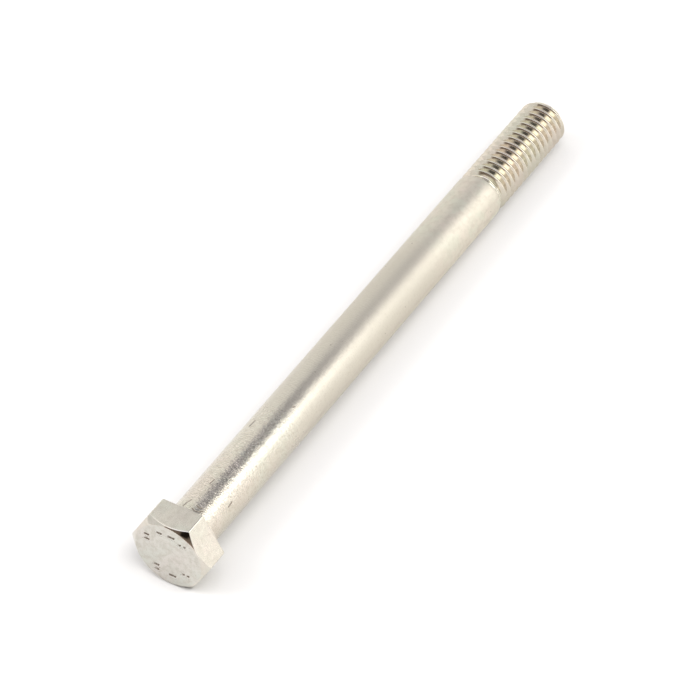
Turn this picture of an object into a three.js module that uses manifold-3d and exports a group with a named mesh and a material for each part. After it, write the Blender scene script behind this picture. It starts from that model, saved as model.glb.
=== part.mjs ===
// A long hex cap screw with a partly threaded body, 3/8-16 UNC by 5 inches, forged in one piece.
// Millimetres, +Z up. The screw lies along +X with two flats of its head facing straight up and down.
// The origin is the centre of the head's outer face, and the thread's end is the far end along +X.

import * as THREE from 'three';
import { mergeVertices } from 'three/addons/utils/BufferGeometryUtils.js';
import Module from 'manifold-3d';

const wasm = await Module();
wasm.setup();

// Head: a hexagon chamfered to a round outer face, with a washer face under it.
const ACROSS_FLATS = 14.12;
const HEAD_HEIGHT = 5.95; // outer face to bearing face
const FACE_RADIUS = 6.8;
const CHAMFER_ANGLE = THREE.MathUtils.degToRad(40);
const WASHER_FACE_RADIUS = 6.65;
const WASHER_FACE_HEIGHT = 0.4;

// Body: a plain shank that ends in a rounded shoulder, where the smaller thread blank begins.
const LENGTH = 126.6; // bearing face to the thread's end
const BODY_RADIUS = 9.45 / 2;
const FILLET_RADIUS = 0.5;
const SHOULDER_LENGTH = 0.9;

// Thread: right-hand, 16 turns to the inch, rolled on the blank.
const PITCH = 25.4 / 16;
const THREAD_LENGTH = 25.4;
const MAJOR_RADIUS = 9.42 / 2;
const THREAD_DEPTH = 0.6134 * PITCH;
const CREST_FLAT = PITCH / 8;
const CREST_LEAD = 0.35 * PITCH; // from the nearest crest, straight along +Y, to the thread's start
const FLANK_RUN = THREAD_DEPTH * Math.tan(THREE.MathUtils.degToRad(30));
const BLANK_RADIUS = 8.4 / 2;
const LEAD_IN = 0.8; // axial length over which the first crest rises from the blank
const POINT_RADIUS = 3.5;
const POINT_LENGTH = 1.3;

// Facets
const ROUND_SEGMENTS = 48;
const THREAD_SEGMENTS = 36;
const ARC_STEPS = 4;
const SPARE = 1; // how far a cutting shape reaches past what it cuts, and how deep joined shapes meet

const END = HEAD_HEIGHT + LENGTH;
const THREAD_START = END - THREAD_LENGTH;
const MINOR_RADIUS = MAJOR_RADIUS - THREAD_DEPTH;

// The closed solid of a geometry, with its corners merged and the slivers at a lathe's poles left out.
function solidOf(geometry) {
  const bare = geometry.clone();
  bare.deleteAttribute('normal');
  bare.deleteAttribute('uv');
  const merged = mergeVertices(bare, 1e-5);
  const corners = Array.from(merged.index.array);
  const triVerts = [];
  for (let first = 0; first < corners.length; first += 3) {
    const [a, b, c] = corners.slice(first, first + 3);
    if (a !== b && b !== c && c !== a) triVerts.push(a, b, c);
  }
  return new wasm.Manifold(new wasm.Mesh({
    numProp: 3,
    vertProperties: Float32Array.from(merged.attributes.position.array),
    triVerts: Uint32Array.from(triVerts),
  }));
}

// The flat-shaded geometry of a solid.
function geometryOf(solid) {
  const { vertProperties, triVerts } = solid.getMesh();
  const indexed = new THREE.BufferGeometry();
  indexed.setAttribute('position', new THREE.BufferAttribute(vertProperties, 3));
  indexed.setIndex(new THREE.BufferAttribute(triVerts, 1));
  const flat = indexed.toNonIndexed();
  flat.computeVertexNormals();
  return flat;
}

// A round solid about the X axis, from [radius, x] points that start and end on the axis.
function turned(outline) {
  const points = outline.map(([radius, x]) => new THREE.Vector2(radius, x));
  return solidOf(new THREE.LatheGeometry(points, ROUND_SEGMENTS).rotateZ(-Math.PI / 2));
}

// [radius, x] points round part of an ellipse: reach is its half width across the axis, run along it.
function arc(centreRadius, centreX, reach, run, from, to) {
  const points = [];
  for (let step = 0; step <= ARC_STEPS; step += 1) {
    const angle = THREE.MathUtils.lerp(from, to, step / ARC_STEPS);
    points.push([centreRadius + reach * Math.sin(angle), centreX + run * Math.cos(angle)]);
  }
  return points;
}

// The hexagonal head, chamfered back to its round outer face, and its washer face.
function makeHead() {
  const corner = ACROSS_FLATS / Math.sqrt(3);
  const hexHeight = HEAD_HEIGHT - WASHER_FACE_HEIGHT;
  const prism = new THREE.CylinderGeometry(corner, corner, hexHeight, 6, 1, false, Math.PI / 6);
  prism.rotateZ(-Math.PI / 2).translate(hexHeight / 2, 0, 0);

  const outside = corner + SPARE;
  const chamfer = turned([
    [0, 0],
    [FACE_RADIUS, 0],
    [outside, (outside - FACE_RADIUS) * Math.tan(CHAMFER_ANGLE)],
    [outside, HEAD_HEIGHT],
    [0, HEAD_HEIGHT],
  ]);
  const washerFace = turned([
    [0, hexHeight - SPARE],
    [WASHER_FACE_RADIUS, hexHeight - SPARE],
    [WASHER_FACE_RADIUS, HEAD_HEIGHT],
    [0, HEAD_HEIGHT],
  ]);
  return solidOf(prism).intersect(chamfer).add(washerFace);
}

// The shank, from the fillet under the head to the rounded shoulder before the thread.
function makeShank() {
  const filletRadius = BODY_RADIUS + FILLET_RADIUS;
  const filletEnd = HEAD_HEIGHT + FILLET_RADIUS;
  const shoulderStart = THREAD_START - SHOULDER_LENGTH;
  const shoulderDrop = BODY_RADIUS - BLANK_RADIUS;
  return turned([
    [0, HEAD_HEIGHT - SPARE],
    [filletRadius, HEAD_HEIGHT - SPARE],
    ...arc(filletRadius, filletEnd, -FILLET_RADIUS, -FILLET_RADIUS, 0, Math.PI / 2),
    ...arc(BLANK_RADIUS, shoulderStart, shoulderDrop, SHOULDER_LENGTH, Math.PI / 2, 0),
    [MINOR_RADIUS, THREAD_START + LEAD_IN],
    [0, THREAD_START + LEAD_IN],
  ]);
}

// A threaded rod, some turns long. Its surface is one grid: the rows are the corners of the thread's
// section, repeated along the rod, and each column stands one facet further round and that share of a
// pitch further along. So the column after the last is the first one, a whole pitch of rows later.
function makeThreadedRod(start, turns) {
  const section = [
    [MAJOR_RADIUS, 0],
    [MAJOR_RADIUS, CREST_FLAT],
    [MINOR_RADIUS, CREST_FLAT + FLANK_RUN],
    [MINOR_RADIUS, PITCH - FLANK_RUN],
  ];
  const rowsPerTurn = section.length;
  const lastRow = turns * rowsPerTurn;
  const lastColumn = THREAD_SEGMENTS - 1;

  const positions = [];
  for (let row = 0; row <= lastRow; row += 1) {
    const [radius, offset] = section[row % rowsPerTurn];
    const rowStart = start + PITCH * Math.floor(row / rowsPerTurn) + offset;
    for (let column = 0; column <= lastColumn; column += 1) {
      const turn = column / THREAD_SEGMENTS;
      const angle = 2 * Math.PI * turn;
      positions.push(rowStart + PITCH * turn, radius * Math.cos(angle), radius * Math.sin(angle));
    }
  }
  const corner = (row, column) => (column > lastColumn
    ? (row + rowsPerTurn) * THREAD_SEGMENTS
    : row * THREAD_SEGMENTS + column);

  const faces = [];
  for (let row = 0; row < lastRow; row += 1) {
    const columns = row + rowsPerTurn < lastRow ? THREAD_SEGMENTS : lastColumn;
    for (let column = 0; column < columns; column += 1) {
      const near = corner(row, column);
      const far = corner(row + 1, column + 1);
      faces.push(near, corner(row, column + 1), far);
      faces.push(near, far, corner(row + 1, column));
    }
  }

  // Each end is a fan from a point on the axis to the last turn's edge and the step where it begins.
  const closeEnd = (x, ring) => {
    const hub = positions.length / 3;
    positions.push(x, 0, 0);
    ring.forEach((here, index) => faces.push(hub, ring[(index + 1) % ring.length], here));
  };
  const nearRing = [];
  const farRing = [];
  for (let column = 0; column <= lastColumn; column += 1) {
    nearRing.push(corner(0, column));
    farRing.unshift(corner(lastRow, column));
  }
  for (let step = 0; step < rowsPerTurn; step += 1) {
    nearRing.push(corner(rowsPerTurn - step, 0));
    farRing.push(corner(lastRow - rowsPerTurn + step, lastColumn));
  }
  closeEnd(start, nearRing);
  closeEnd(start + PITCH * (turns + 1), farRing);

  const rod = new THREE.BufferGeometry();
  rod.setAttribute('position', new THREE.Float32BufferAttribute(positions, 3));
  rod.setIndex(faces);
  return solidOf(rod);
}

// The thread: a longer rod, trimmed to a tapered first turn and a chamfered end.
function makeThread() {
  const rodStart = THREAD_START - 2 * PITCH - CREST_LEAD;
  const rodTurns = Math.ceil((END - rodStart) / PITCH) + 1;
  const outside = MAJOR_RADIUS + SPARE;
  const leadSlope = LEAD_IN / (MAJOR_RADIUS - BLANK_RADIUS);
  const pointSlope = POINT_LENGTH / (MAJOR_RADIUS - POINT_RADIUS);
  const trim = turned([
    [0, THREAD_START],
    [BLANK_RADIUS, THREAD_START],
    [outside, THREAD_START + leadSlope * (outside - BLANK_RADIUS)],
    [outside, END - pointSlope * (outside - POINT_RADIUS)],
    [POINT_RADIUS, END],
    [0, END],
  ]);
  return makeThreadedRod(rodStart, rodTurns).intersect(trim);
}

const steel = new THREE.MeshStandardMaterial({
  name: 'steel',
  color: 0xcfc8ba,
  metalness: 1,
  roughness: 0.32,
});

const bolt = new THREE.Mesh(geometryOf(makeHead().add(makeShank()).add(makeThread())), steel);
bolt.name = 'hex_bolt';

const group = new THREE.Group();
group.add(bolt);

export default group;
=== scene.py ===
"""A nickel-plated steel hex cap screw lying on a white table, in fine mesh round its CAD part."""

import math

import bpy
import numpy as np
from mathutils import Matrix, Vector, noise


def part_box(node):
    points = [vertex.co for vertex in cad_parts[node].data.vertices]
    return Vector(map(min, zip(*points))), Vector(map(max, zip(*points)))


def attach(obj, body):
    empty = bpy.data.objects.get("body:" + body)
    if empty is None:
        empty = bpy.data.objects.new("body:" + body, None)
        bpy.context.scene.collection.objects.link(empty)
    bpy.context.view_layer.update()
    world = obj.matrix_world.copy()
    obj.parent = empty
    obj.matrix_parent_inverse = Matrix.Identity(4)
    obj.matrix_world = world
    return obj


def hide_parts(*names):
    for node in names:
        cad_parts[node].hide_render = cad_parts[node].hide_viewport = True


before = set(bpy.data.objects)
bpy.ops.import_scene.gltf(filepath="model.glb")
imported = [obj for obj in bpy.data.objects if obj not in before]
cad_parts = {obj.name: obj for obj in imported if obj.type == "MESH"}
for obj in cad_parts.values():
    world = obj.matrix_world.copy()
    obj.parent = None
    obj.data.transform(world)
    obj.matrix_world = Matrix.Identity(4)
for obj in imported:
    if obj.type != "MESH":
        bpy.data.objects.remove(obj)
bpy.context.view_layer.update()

LOW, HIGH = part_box("hex_bolt")

# ---------------------------------------------------------------------------------------------
# Sizes in millimetres. The screw lies along +X, with the centre of its outer face at the origin.
# Angles about the screw run from +Y towards +Z.
# ---------------------------------------------------------------------------------------------
MM = 0.001
TURN = 2 * math.pi
END = HIGH.x / MM
APOTHEM = HIGH.z / MM  # axis to a flat

SIXTH = TURN / 6
HEX_BACK = 5.55
BEARING_FACE = 5.95
FACE_RADIUS = 6.8
CHAMFER_SLOPE = math.tan(math.radians(40))
CHAMFER_OFFSET = np.array([-0.16, 0.0])  # the chamfer was turned a little off centre
EDGE_RADIUS = 0.3
STROKE_HEIGHT = 0.24
STROKE_FOOT = 0.46  # half the width of a stroke, at its foot
STROKE_FLANK = 0.31  # how wide each of its sloping sides is
STROKE_RING = 4.85
FACE_HOLLOW = 0.02
WASHER_RADIUS = 6.65
BODY_RADIUS = 9.45 / 2
FILLET = 0.5

PITCH = 25.4 / 16
THREAD_START = END - 25.4
SHOULDER_START = THREAD_START - 0.9
BLANK_RADIUS = 8.4 / 2
MAJOR_RADIUS = 9.42 / 2
MINOR_RADIUS = MAJOR_RADIUS - 0.6134 * PITCH
CREST_AT = THREAD_START - 2.35 * PITCH + PITCH / 16  # a crest's middle, at angle 0
CREST_ROUNDING = 0.04
ROOT_ROUNDING = 0.22
POINT_RADIUS = 3.5
POINT_LENGTH = 1.3
POINT_ROUNDING = 0.12
END_EDGE = 0.12

FINE_COLUMNS = 288  # round the head
COLUMNS = 96  # round the shank and the thread
FACE_STYLE, CHAMFER_STYLE, SIDE_STYLE, SHANK_STYLE, THREAD_STYLE = range(5)


def smooth(value, low, high):
    """0 below low, 1 above high, and a smooth rise between them."""
    share = np.clip((value - low) / (high - low), 0, 1)
    return share * share * (3 - 2 * share)


def soft_min(a, b, width):
    """The lesser of two values, rounded off where they cross."""
    near = np.maximum(width - np.abs(a - b), 0) / width
    return np.minimum(a, b) - near * near * width / 4


class Skin:
    """One closed surface made ring by ring about the X axis, from the outer face to the thread's end."""

    def __init__(self):
        self.points = []
        self.faces = []
        self.styles = []

    def ring(self, x, radius, angle):
        """Adds a ring of points and returns their numbers."""
        first = len(self.points)
        x = np.broadcast_to(x, angle.shape)
        self.points.extend(zip(x, radius * np.cos(angle), radius * np.sin(angle)))
        return np.arange(first, len(self.points))

    def face(self, corners, style):
        self.faces.append([int(corner) for corner in corners])
        self.styles.append(style)

    def strip(self, near, far, style, closed=True):
        """Joins two rings that have the same number of points."""
        count = len(near)
        for this in range(count if closed else count - 1):
            after = (this + 1) % count
            self.face((near[this], near[after], far[after], far[this]), style)

    def thin_out(self, near, far, style):
        """Joins a ring to one with a third of its points."""
        count = len(near)
        for coarse in range(len(far)):
            here = far[coarse]
            there = far[(coarse + 1) % len(far)]
            a, b, c, d = (near[(3 * coarse + step) % count] for step in range(4))
            self.face((a, b, here), style)
            self.face((b, there, here), style)
            self.face((b, c, there), style)
            self.face((c, d, there), style)

    def zip_up(self, left, right, left_keys, right_keys, style):
        """Joins two neighbouring columns whose points don't pair up, in the order of their keys."""
        i, j = 0, 0
        while i < len(left) - 1 or j < len(right) - 1:
            left_next = left_keys[i + 1] if i < len(left) - 1 else math.inf
            right_next = right_keys[j + 1] if j < len(right) - 1 else math.inf
            if abs(left_next - right_next) < 1e-6:
                self.face((left[i], right[j], right[j + 1], left[i + 1]), style)
                i, j = i + 1, j + 1
            elif left_next < right_next:
                self.face((left[i], right[j], left[i + 1]), style)
                i += 1
            else:
                self.face((left[i], right[j], right[j + 1]), style)
                j += 1


# ---------------------------------------------------------------------------------------------
# The head
# ---------------------------------------------------------------------------------------------
def head_angles(crowding):
    """Angles of the fine columns. Crowding draws them towards the hexagon's corners."""
    share = np.arange(FINE_COLUMNS) * 6 / FINE_COLUMNS
    return SIXTH * (share - 0.82 * crowding * np.sin(TURN * share) / TURN)


def hexagon(angle):
    """Distance from the axis to the hexagon's outline, whose corners are rounded."""
    from_flat = np.abs(angle % SIXTH - SIXTH / 2)
    from_corner = SIXTH / 2 - from_flat
    arc_centre = (APOTHEM - EDGE_RADIUS) / math.cos(SIXTH / 2)
    inside = np.maximum(EDGE_RADIUS**2 - (arc_centre * np.sin(from_corner)) ** 2, 0)
    arc = arc_centre * np.cos(from_corner) + np.sqrt(inside)
    arc_starts = math.atan((APOTHEM - EDGE_RADIUS) * math.tan(SIXTH / 2) / APOTHEM)
    return np.where(from_flat < arc_starts, APOTHEM / np.cos(from_flat), arc)


def rim(angle):
    """Distance from the axis to the edge of the round outer face."""
    ray = np.stack([np.cos(angle), np.sin(angle)], -1)
    along = ray @ CHAMFER_OFFSET
    across = ray[:, 0] * CHAMFER_OFFSET[1] - ray[:, 1] * CHAMFER_OFFSET[0]
    return along + np.sqrt(FACE_RADIUS**2 - across**2)


def segment_distance(y, z, start, end):
    """Distance in the outer face from points to a straight stroke."""
    run = end - start
    share = ((y - start[0]) * run[0] + (z - start[1]) * run[1]) / max(run @ run, 1e-9)
    share = np.clip(share, 0, 1)
    return np.hypot(y - start[0] - share * run[0], z - start[1] - share * run[1])


def face_strokes():
    """The plain raised strokes of the outer face, as (start, end). They all run along Y."""
    bar = [((-0.42, 0), (0.42, 0))]
    long_bar = [((-0.6, 0), (0.6, 0))]
    two_bars = [((-0.42, 0.55), (0.42, 0.55)), ((-0.42, -0.55), (0.42, -0.55))]
    two_dots = [((-0.62, 0), (-0.36, 0)), ((0.36, 0), (0.62, 0))]
    marks = {  # by their angle about the screw, in degrees
        31: two_bars,
        72: bar,
        101: long_bar,
        130: two_dots,
        -59: two_bars,
        -99: long_bar,
        -137: two_dots,
    }
    strokes = []
    for degrees, mark in marks.items():
        angle = math.radians(degrees)
        centre = STROKE_RING * np.array([math.cos(angle), math.sin(angle)])
        strokes += [(centre + start, centre + end) for start, end in mark]
    return strokes


def face_height(y, z):
    """How far the outer face stands proud: the raised strokes, and a faint hollow in the middle."""
    height = -FACE_HOLLOW * smooth(np.hypot(y, z), 6.0, 2.0)
    for start, end in face_strokes():
        distance = segment_distance(y, z, start, end)
        rise = np.clip((STROKE_FOOT - distance) / STROKE_FLANK, 0, 1)
        height = np.maximum(height, STROKE_HEIGHT * rise)
    return height


def bend(before, corner, after, reach_in, reach_out, steps):
    """Rows of points that round off a corner of each column's profile."""

    def towards(goal, reach):
        run = goal - corner
        length = np.linalg.norm(run, axis=-1, keepdims=True)
        return corner + run / length * np.minimum(reach, 0.45 * length)

    share = np.linspace(0, 1, steps)[:, None, None]
    start, end = towards(before, reach_in), towards(after, reach_out)
    return (1 - share) ** 2 * start + 2 * share * (1 - share) * corner + share**2 * end


def make_outer_face(skin):
    """The round outer face with its raised strokes. Returns its last ring."""
    # The rings stand closest together where the strokes are.
    shares = [
        np.linspace(0, 0.56, 19)[1:],
        np.linspace(0.56, 0.9, 42)[1:],
        np.linspace(0.9, 1, 8)[1:],
    ]
    hub = skin.ring(FACE_HOLLOW, np.zeros(1), np.zeros(1))[0]
    last = None
    for share in np.concatenate(shares):
        angle = head_angles(smooth(share, 0.76, 0.97))
        radius = share * (rim(angle) - 0.1)
        x = -face_height(radius * np.cos(angle), radius * np.sin(angle))
        ring = skin.ring(x, radius, angle)
        if last is None:
            for this in range(FINE_COLUMNS):
                skin.face((hub, ring[(this + 1) % FINE_COLUMNS], ring[this]), FACE_STYLE)
        else:
            skin.strip(last, ring, FACE_STYLE)
        last = ring
    return last


def make_sides(skin, last):
    """The chamfer, the flats, the rear face, the washer face and the fillet, down to the shank."""
    angle = head_angles(1.0)
    ray = np.stack([np.cos(angle), np.sin(angle)], -1)

    def corner(x, radius):
        return np.stack(np.broadcast_arrays(np.float64(x), radius + 0 * angle), -1)

    outline = hexagon(angle)
    from_chamfer_axis = np.linalg.norm(ray * outline[:, None] - CHAMFER_OFFSET, axis=-1)
    chamfer_x = np.maximum((from_chamfer_axis - FACE_RADIUS) * CHAMFER_SLOPE, 0.03)
    corners = [
        corner(0, 0),
        corner(0, np.minimum(rim(angle), outline - 0.03)),
        corner(chamfer_x, outline),
        corner(HEX_BACK, outline),
        corner(HEX_BACK, WASHER_RADIUS),
        corner(BEARING_FACE, WASHER_RADIUS),
        corner(BEARING_FACE, BODY_RADIUS),
        corner(END, BODY_RADIUS),
    ]
    bends = [  # reach in, reach out, steps, style, rows along the stretch that follows, its style
        (0.07, 0.80, 14, CHAMFER_STYLE, 2, CHAMFER_STYLE),
        (0.13, 0.16, 7, CHAMFER_STYLE, 12, SIDE_STYLE),
        (0.32, 0.26, 9, SIDE_STYLE, 3, SIDE_STYLE),
        (0.05, 0.05, 3, SIDE_STYLE, 0, SIDE_STYLE),
        (0.06, 0.06, 4, SIDE_STYLE, 6, SIDE_STYLE),
        (FILLET, FILLET, 9, SHANK_STYLE, 0, SHANK_STYLE),
    ]
    profile = []
    for number, (reach_in, reach_out, steps, style, between, stretch_style) in enumerate(bends):
        rounded = bend(*corners[number : number + 3], reach_in, reach_out, steps)
        if profile:
            before = profile[-1][0]
            for share in np.linspace(0, 1, waiting + 2)[1:-1]:
                profile.append((before * (1 - share) + rounded[0] * share, waiting_style))
        profile += [(row, style) for row in rounded]
        waiting, waiting_style = between, stretch_style

    for row, style in profile:
        x, radius = row[:, 0], row[:, 1]
        crowding = smooth(radius.mean(), BODY_RADIUS + 0.3, WASHER_RADIUS - 0.1)
        crowding = 1.0 if x.mean() < BEARING_FACE - 0.01 else crowding
        ring = skin.ring(x, radius, head_angles(crowding))
        skin.strip(last, ring, style)
        last = ring
    return last


# ---------------------------------------------------------------------------------------------
# The shank and the thread
# ---------------------------------------------------------------------------------------------
def body_radius(x):
    """The shank and its rounded shoulder, down to the thread blank."""
    share = np.clip((x - SHOULDER_START) / (THREAD_START - SHOULDER_START), 0, 1)
    return BLANK_RADIUS + (BODY_RADIUS - BLANK_RADIUS) * np.sqrt(1 - share**2)


def thread_form(x, angle):
    """Radius of the full thread, with a rounded crest and a rounder root."""
    turns = (x - CREST_AT) / PITCH - angle / TURN
    from_crest = np.abs((turns + 0.5) % 1 - 0.5) * PITCH
    flank = MAJOR_RADIUS - (from_crest - PITCH / 16) * math.sqrt(3)
    crested = soft_min(flank, MAJOR_RADIUS + 0 * x, CREST_ROUNDING)
    return -soft_min(-crested, -MINOR_RADIUS + 0 * x, ROOT_ROUNDING)


def surface_radius(x, angle):
    """Radius of the screw beyond the shoulder: the thread rises out of the blank, and ends in a point."""
    rise = smooth(x, THREAD_START - 0.3, THREAD_START + 1.2)
    body = body_radius(x)
    rolled = body + (thread_form(x, angle) - body) * rise
    point = POINT_RADIUS + (END - x) * (MAJOR_RADIUS - POINT_RADIUS) / POINT_LENGTH
    return soft_min(rolled, point, POINT_ROUNDING)


def make_shank(skin, last):
    """The plain shank, as flat rings, to just before the shoulder. It is very slightly uneven."""
    angle = np.arange(COLUMNS) * TURN / COLUMNS
    start = BEARING_FACE + FILLET
    stations = np.linspace(start, SHOULDER_START, 104)[1:]
    ring = None
    for station in stations:
        fade = float(smooth(station, start, start + 3) * smooth(station, SHOULDER_START, 95))
        waves = [noise.noise((station / 7, 1.3 * math.cos(a), 1.3 * math.sin(a))) for a in angle]
        radius = BODY_RADIUS - 0.012 * fade * np.abs(np.array(waves))
        ring = skin.ring(station, radius, angle)
        if len(last) == FINE_COLUMNS:
            skin.thin_out(last, ring, SHANK_STYLE)
        else:
            skin.strip(last, ring, SHANK_STYLE)
        last = ring
    return last


def make_thread(skin, last):
    """The shoulder, the thread and the point.

    Along the thread each column stands one facet further round and that share of a pitch further
    along, so that the rows follow the crests. The column after the last is then the first one, a
    whole pitch of rows later, and the two are zipped up on their own.
    """
    angle = np.arange(COLUMNS) * TURN / COLUMNS
    share = angle / TURN
    gap = 0.2
    wedge_rows = 22
    far_ring = END - gap
    turns = math.floor((far_ring - gap - THREAD_START - 0.4) / PITCH) - 1
    helix_start = far_ring - gap - (turns + 1) * PITCH
    near_ring = helix_start - gap

    for x in np.linspace(SHOULDER_START, near_ring, 22)[1:]:
        ring = skin.ring(x, surface_radius(x + 0 * angle, angle), angle)
        skin.strip(last, ring, SHANK_STYLE if x < THREAD_START - 0.25 else THREAD_STYLE)
        last = ring

    # Rows within a pitch, in shares of it from the crest's middle: closer at the crest and the root.
    half = np.array([0, 0.038, 0.063, 0.088, 0.12, 0.208, 0.296, 0.365, 0.403, 0.441])
    from_crest = np.concatenate([half, [0.5], -half[1:]])
    in_pitch = np.sort(((CREST_AT - helix_start) / PITCH + from_crest) % 1)
    along = (np.arange(turns)[:, None] + in_pitch).ravel() * PITCH
    along = np.concatenate([[0.0], along, [turns * PITCH]])
    start = helix_start + PITCH * share
    rows = [near_ring + (start - near_ring) * k / wedge_rows for k in range(1, wedge_rows)]
    rows += [start + distance for distance in along]
    finish = start + turns * PITCH
    rows += [finish + (far_ring - finish) * k / wedge_rows for k in range(1, wedge_rows + 1)]

    first_x = np.full(COLUMNS, near_ring)
    rings, stations = [last], [first_x]
    for x in rows:
        ring = skin.ring(x, surface_radius(x, angle), angle)
        skin.strip(rings[-1], ring, THREAD_STYLE, closed=False)
        rings.append(ring)
        stations.append(x)
    left = [ring[-1] for ring in rings]
    right = [ring[0] for ring in rings]
    left_keys = [x[-1] + PITCH / COLUMNS for x in stations]
    right_keys = [x[0] for x in stations]
    skin.zip_up(left, right, left_keys, right_keys, THREAD_STYLE)
    return rings[-1]


def make_end(skin, last):
    """The thread's flat end, with a small rounded edge."""
    angle = np.arange(COLUMNS) * TURN / COLUMNS
    for step in range(1, 5):
        turn = step / 4 * math.pi / 2
        x = END - END_EDGE + END_EDGE * math.sin(turn)
        radius = POINT_RADIUS + 0.1 - 0.2 * (1 - math.cos(turn))
        ring = skin.ring(x, np.full(COLUMNS, radius), angle)
        skin.strip(last, ring, THREAD_STYLE)
        last = ring
    for radius in (2.6, 1.7, 0.8):
        ring = skin.ring(END, np.full(COLUMNS, radius), angle)
        skin.strip(last, ring, SIDE_STYLE)
        last = ring
    hub = skin.ring(END, np.zeros(1), np.zeros(1))[0]
    for this in range(COLUMNS):
        skin.face((hub, last[this], last[(this + 1) % COLUMNS]), SIDE_STYLE)


def make_screw(materials):
    """The whole screw as one closed mesh object."""
    skin = Skin()
    last = make_outer_face(skin)
    last = make_sides(skin, last)
    last = make_shank(skin, last)
    last = make_thread(skin, last)
    make_end(skin, last)
    mesh = bpy.data.meshes.new("plated_hex_bolt")
    mesh.from_pydata((np.array(skin.points) * MM).tolist(), [], skin.faces)
    mesh.polygons.foreach_set("material_index", skin.styles)
    mesh.polygons.foreach_set("use_smooth", [True] * len(skin.faces))
    for material in materials:
        mesh.materials.append(material)
    mesh.validate()
    mesh.update()
    piece = bpy.data.objects.new("plated_hex_bolt", mesh)
    bpy.context.scene.collection.objects.link(piece)
    normals = piece.modifiers.new("even_normals", "WEIGHTED_NORMAL")
    normals.mode = "FACE_AREA"
    return piece


# ---------------------------------------------------------------------------------------------
# Materials
# ---------------------------------------------------------------------------------------------
class Graph:
    """Adds nodes to a node tree. A value is a number, a tuple or another node's socket."""

    def __init__(self, tree):
        self.tree = tree
        tree.nodes.clear()

    def node(self, kind, inputs=None, **settings):
        made = self.tree.nodes.new(kind)
        for name, value in settings.items():
            setattr(made, name, value)
        for name, value in (inputs or {}).items():
            self.feed(made.inputs[name], value)
        return made

    def feed(self, socket, value):
        if isinstance(value, bpy.types.NodeSocket):
            self.tree.links.new(value, socket)
        else:
            socket.default_value = value

    def math(self, operation, first, second=0.0, third=0.0):
        inputs = {0: first, 1: second, 2: third}
        return self.node("ShaderNodeMath", inputs, operation=operation).outputs[0]

    def rise(self, value, low, high, start=0.0, finish=1.0):
        """A smooth change from start to finish as the value goes from low to high."""
        inputs = {0: value, 1: low, 2: high, 3: start, 4: finish}
        made = self.node("ShaderNodeMapRange", inputs, interpolation_type="SMOOTHSTEP")
        return made.outputs[0]

    def blend(self, share, first, second):
        """A mix of two colours."""
        made = self.node("ShaderNodeMix", {0: share, 6: first, 7: second}, data_type="RGBA")
        return made.outputs[2]

    def vector(self, operation, first, second=(0, 0, 0), scale=1.0):
        inputs = {0: first, 1: second, 3: scale}
        return self.node("ShaderNodeVectorMath", inputs, operation=operation).outputs

    def scratch(self, where, start, end, width):
        """1 on a thin straight stroke between two points, and 0 away from it."""
        run = end - start
        offset = self.vector("SUBTRACT", where, start)[0]
        share = self.vector("DOT_PRODUCT", offset, run / run.length_squared)[1]
        share = self.node("ShaderNodeClamp", {0: share}).outputs[0]
        nearest = self.vector("SCALE", run, scale=share)[0]
        distance = self.vector("DISTANCE", offset, nearest)[1]
        return self.rise(distance, width, 0.3 * width)

    def noise(self, where, scale, detail=2.0, roughness=0.5):
        inputs = {"Vector": where, "Scale": scale, "Detail": detail, "Roughness": roughness}
        return self.node("ShaderNodeTexNoise", inputs).outputs[0]

    def stretched(self, where, x, across):
        """Coordinates scaled along and across the screw."""
        return self.node("ShaderNodeMapping", {"Vector": where, "Scale": (x, across, across)}).outputs[0]


STAIN = (0.30, 0.25, 0.20, 1.0)
SCRATCH_WIDTH = 0.18
SCRATCHES = [  # on the shank, each as points of millimetres from the outer face and degrees round
    [(7.0, 71), (7.9, 70), (8.7, 72), (9.6, 77)],
    [(7.9, 92), (7.6, 100), (7.8, 108), (8.5, 114)],
    [(8.9, 96), (8.6, 103), (8.9, 108)],
    [(30.2, 62), (31.8, 64)],
    [(38.0, 114), (38.3, 116)],
    [(13.2, 151), (14.4, 149)],
    [(14.5, 85), (15.6, 87)],
]


def shade(colour, strength):
    """A colour made lighter or darker, as a shader colour."""
    return (*(channel * strength for channel in colour), 1.0)


def on_shank(x, degrees):
    """A point on the shank's surface, in millimetres."""
    angle = math.radians(degrees)
    return Vector((x, BODY_RADIUS * math.cos(angle), BODY_RADIUS * math.sin(angle)))


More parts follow.
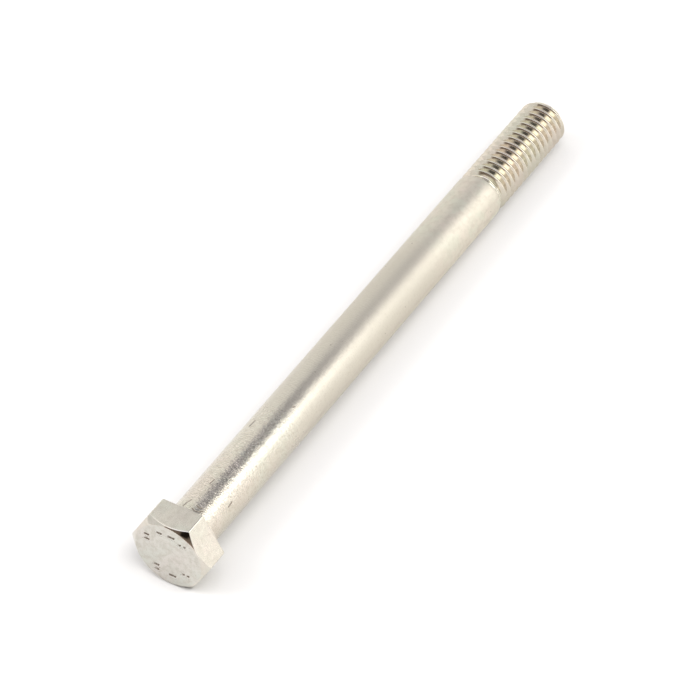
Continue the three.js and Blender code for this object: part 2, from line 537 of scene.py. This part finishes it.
def plated_steel(name, colour, roughness, haze, clouding, speckle, hatch, waves, pits, scratches=()):
    """Nickel plate over forged steel.

    Haze is how much rougher the plate is at the thread's end of the screw than at the head.
    Clouding is the strength of the dull patches. The next four are how strong each kind of relief
    is, from 0.
    """
    material = bpy.data.materials.new(name)
    material.use_nodes = True
    graph = Graph(material.node_tree)
    where = graph.node("ShaderNodeTexCoord").outputs["Object"]
    millimetres = graph.stretched(where, 1 / MM, 1 / MM)
    x = graph.node("ShaderNodeSeparateXYZ", {0: millimetres}).outputs[0]
    near_head = graph.rise(x, 10.0, 95.0, 1.0, 0.10)
    middle = graph.math("MULTIPLY", graph.rise(x, 22.0, 45.0), graph.rise(x, 95.0, 78.0))

    # The relief: grains, strokes round the screw, wide swells, pits and scratches.
    grains = graph.noise(millimetres, 2.6, 3.0, 0.65)
    strokes = graph.noise(graph.stretched(millimetres, 5.0, 1.0), 1.0, 2.0, 0.5)
    swells = graph.noise(millimetres, 0.35, 1.0, 0.4)
    cells = graph.node("ShaderNodeTexVoronoi", {"Vector": millimetres, "Scale": 0.55})
    cell_value = graph.node("ShaderNodeSeparateColor", {0: cells.outputs[1]}).outputs[0]
    chosen = graph.rise(cell_value, 0.72, 0.74)
    pit = graph.math("MULTIPLY", graph.rise(cells.outputs[0], 0.05, 0.085, 1.0, 0.0), chosen)

    height = graph.math("MULTIPLY", graph.math("MULTIPLY", grains, speckle), near_head)
    height = graph.math("MULTIPLY_ADD", graph.math("MULTIPLY", strokes, near_head), hatch, height)
    height = graph.math("MULTIPLY_ADD", swells, waves, height)
    height = graph.math("MULTIPLY_ADD", pit, -2.0 * pits, height)
    scored = 0.0
    for points in scratches:
        ends = [on_shank(*point) for point in points]
        for start, end in zip(ends, ends[1:]):
            stroke = graph.scratch(millimetres, start, end, SCRATCH_WIDTH)
            scored = graph.math("MAXIMUM", stroke, scored)
    height = graph.math("MULTIPLY_ADD", scored, -4.0, height)
    bump = graph.node("ShaderNodeBump", {"Strength": 1.0, "Distance": 0.02 * MM, "Height": height})

    # The colour: wide greenish and rosy patches, dull clouds, a duller middle, specks and stains.
    red, green, blue = colour
    greenish = (red * 0.97, green * 1.01, blue, 1.0)
    rosy = (red * 1.02, green * 0.985, blue, 1.0)
    dull = shade((red, 0.98 * green, 0.95 * blue), 0.80)
    patches = graph.noise(millimetres, 0.16, 3.0, 0.6)
    tint = graph.blend(graph.rise(patches, 0.40, 0.50), greenish, shade(colour, 1.0))
    tint = graph.blend(graph.rise(patches, 0.52, 0.66), tint, rosy)
    clouds = graph.noise(millimetres, 0.9, 4.0, 0.65)
    tint = graph.blend(graph.rise(clouds, 0.62, 0.30, 0.0, clouding), tint, dull)
    tint = graph.blend(graph.rise(x, 30.0, 6.0, 0.0, 0.18), tint, dull)
    tint = graph.blend(middle, tint, shade(colour, 0.88))
    specks = graph.math("MULTIPLY", near_head, speckle)
    specks = graph.math("MULTIPLY", graph.rise(grains, 0.46, 0.34), specks)
    tint = graph.blend(graph.math("MULTIPLY", specks, 0.12), tint, STAIN)
    tint = graph.blend(graph.math("MULTIPLY", pit, pits), tint, STAIN)
    tint = graph.blend(graph.math("MULTIPLY", scored, 0.9), tint, STAIN)

    # The roughness: it grows with the distance from the head, and is mottled.
    half_mottle = 0.06
    smoothest = roughness - half_mottle
    dulled = graph.rise(x, 8.0, 75.0, smoothest, smoothest + haze)
    mottle = graph.noise(millimetres, 1.1, 4.0, 0.6)
    mottled = graph.math("MULTIPLY_ADD", mottle, 2 * half_mottle, dulled)

    shader = graph.node(
        "ShaderNodeBsdfPrincipled",
        {
            "Metallic": 1.0,
            "Base Color": tint,
            "Roughness": mottled,
            "Normal": bump.outputs[0],
        },
    )
    graph.node("ShaderNodeOutputMaterial", {"Surface": shader.outputs[0]})
    return material


def table_white():
    material = bpy.data.materials.new("table_white")
    material.use_nodes = True
    graph = Graph(material.node_tree)
    shader = graph.node(
        "ShaderNodeBsdfPrincipled",
        {"Base Color": (0.534, 0.525, 0.511, 1.0), "Roughness": 0.9, "Specular IOR Level": 0.0},
    )
    graph.node("ShaderNodeOutputMaterial", {"Surface": shader.outputs[0]})
    return material


# ---------------------------------------------------------------------------------------------
# Table, light and camera
# ---------------------------------------------------------------------------------------------
def make_table():
    """A white table under the screw, which rests on its head's lowest flat and on its thread's end."""
    slope = 0.01875  # rise for each unit along X
    reach = 3.0
    under_head = Vector((HEX_BACK * MM, 0, LOW.z))
    mesh = bpy.data.meshes.new("table")
    corners = [(-reach, -reach), (reach, -reach), (reach, reach), (-reach, reach)]
    mesh.from_pydata(
        [(under_head.x + x, y, under_head.z + x * slope) for x, y in corners], [], [(0, 1, 2, 3)]
    )
    mesh.materials.append(table_white())
    table = bpy.data.objects.new("table", mesh)
    bpy.context.scene.collection.objects.link(table)


def make_surroundings():
    """A white studio with a bright soft box to the right, a darker ceiling and a dark doorway in front.

    It is a brightness by direction: x from the head to the thread's end, y to the left, z up.
    """
    world = bpy.data.worlds.new("studio")
    bpy.context.scene.world = world
    world.use_nodes = True
    graph = Graph(world.node_tree)
    where = graph.node("ShaderNodeTexCoord").outputs["Generated"]
    x, y, z = graph.node("ShaderNodeSeparateXYZ", {0: where}).outputs

    def both(first, second):
        return graph.math("MULTIPLY", first, second)

    def between(share, low, high):
        return graph.math("MULTIPLY_ADD", graph.math("SUBTRACT", high, low), share, low)

    # The far half of the room: a low wall all round, and above it the ceiling and the left wall.
    low_wall = graph.rise(y, -0.3, 0.3, 1.52, 0.92)
    left_wall = graph.rise(x, 0.58, 0.42, 0.92, 1.25)
    ceiling = graph.rise(x, 0.58, 0.42, 0.55, 0.10)
    ceiling_edge = graph.rise(x, 0.58, 0.42, 0.55, 0.42)
    above = graph.rise(y, 0.10, ceiling_edge, ceiling, left_wall)

    # The soft box to the right, with its bright core, and a glow high on the left.
    above = graph.math("ADD", above, graph.rise(y, -0.29, -0.38, 0.0, 1.3))
    core = both(graph.rise(x, 0.56, 0.42, 0.38, 2.0), graph.rise(y, -0.40, -0.50))
    core_foot = graph.rise(x, 0.42, 0.58, 0.48, 0.34)
    core_top = graph.rise(x, 0.42, 0.58, 0.60, 0.46)
    above = graph.math("MULTIPLY_ADD", core, graph.rise(z, core_foot, core_top), above)
    glow = both(graph.rise(x, 0.40, 0.15, 0.0, 0.9), graph.rise(y, 0.60, 0.80))
    above = graph.math("ADD", above, glow)
    far_half = between(graph.rise(z, 0.10, 0.38), low_wall, above)

    # The near half, on the side of the head, which is brightest overhead.
    near_low = graph.rise(y, 0.25, 0.60, 1.75, 0.97)
    near_above = graph.rise(z, 0.66, 0.85, 0.97, 1.8)
    near_half = between(graph.rise(z, 0.10, 0.25), near_low, near_above)
    light = between(graph.rise(x, 0.20, -0.12), far_half, near_half)

    # The dark doorway in front of the head, blackest at its upper right.
    doorway = both(graph.rise(z, 0.0, 0.05), graph.rise(z, 0.54, 0.47))
    doorway = both(doorway, graph.rise(x, -0.45, -0.70))
    doorway = both(doorway, graph.rise(y, 0.50, 0.42))
    blackest = both(graph.rise(z, 0.27, 0.33), graph.rise(y, 0.02, -0.10))
    depth = graph.math("MULTIPLY_ADD", blackest, -0.215, -0.77)
    light = both(light, graph.math("MULTIPLY_ADD", doorway, depth, 1.0))

    # The ceiling is a little blue and the doorway brown.
    cool = both(graph.rise(z, 0.35, 0.55), graph.rise(y, 0.45, 0.15))
    cool = both(cool, graph.rise(y, -0.42, -0.28))
    colour = graph.blend(cool, (1, 1, 1, 1), (0.98, 0.98, 1.09, 1))
    colour = graph.blend(doorway, colour, (1, 0.78, 0.65, 1))

    # The camera sees only white.
    seen = graph.node("ShaderNodeLightPath").outputs["Is Camera Ray"]
    light = graph.math("ADD", light, both(seen, 4.0))
    background = graph.node("ShaderNodeBackground", {"Color": colour, "Strength": light})
    graph.node("ShaderNodeOutputWorld", {"Surface": background.outputs[0]})


def make_lamp(name, size, energy, towards, distance):
    """A round soft light over the table. The metal doesn't mirror it."""
    lamp = bpy.data.lights.new(name, "AREA")
    lamp.shape = "DISK"
    lamp.size = size
    lamp.energy = energy
    light = bpy.data.objects.new(name, lamp)
    bpy.context.scene.collection.objects.link(light)
    light.location = Vector(towards).normalized() * distance
    light.rotation_euler = Vector(towards).to_track_quat("Z", "Y").to_euler()
    light.visible_camera = False
    light.visible_glossy = False


def make_camera():
    """A long lens, looking down on the head and along the screw at the photograph's angle."""
    azimuth, elevation, roll = math.radians(32.154), math.radians(43.957), math.radians(-1.315)
    distance = 0.75792
    aim = Vector((0.4465 * HIGH.x, -0.00072, 0.0))
    forward = Vector(
        (
            math.cos(azimuth) * math.cos(elevation),
            math.sin(azimuth) * math.cos(elevation),
            -math.sin(elevation),
        )
    )
    level_right = Vector((math.sin(azimuth), -math.cos(azimuth), 0))
    level_up = level_right.cross(forward)
    right = math.cos(roll) * level_right + math.sin(roll) * level_up
    up = math.cos(roll) * level_up - math.sin(roll) * level_right
    lens = bpy.data.cameras.new("camera")
    lens.sensor_width = 36
    lens.lens = 216.45
    lens.clip_start, lens.clip_end = 0.01, 20
    camera = bpy.data.objects.new("camera", lens)
    bpy.context.scene.collection.objects.link(camera)
    turned = Matrix((right, up, -forward)).transposed().to_4x4()
    camera.matrix_world = Matrix.Translation(aim - forward * distance) @ turned
    bpy.context.scene.camera = camera


make_camera()
screw = make_screw(
    [
        plated_steel("face_steel", (0.634, 0.616, 0.568), 0.18, 0.0, 0.95, 1.0, 0.0, 6.0, 0.4),
        plated_steel("chamfer_steel", (0.650, 0.610, 0.545), 0.06, 0.0, 0.5, 0.1, 0.0, 0.5, 0.0),
        plated_steel("flat_steel", (0.734, 0.692, 0.600), 0.26, 0.0, 0.5, 0.3, 0.0, 4.0, 0.3),
        plated_steel(
            "shank_steel", (0.675, 0.628, 0.532), 0.14, 0.38, 0.5, 2.4, 6.0, 1.0, 0.9, SCRATCHES
        ),
        plated_steel("thread_steel", (0.666, 0.616, 0.518), 0.14, 0.0, 0.5, 0.1, 0.1, 0.3, 0.0),
    ]
)
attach(screw, "root")
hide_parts("hex_bolt")
make_table()
make_surroundings()
make_lamp("key", 0.5, 4.7, (-0.38, 0.62, 0.68), 0.9)
make_lamp("fill", 1.4, 18.4, (-0.1, -0.5, 1.0), 1.3)
bpy.context.scene.view_settings.view_transform = "Standard"
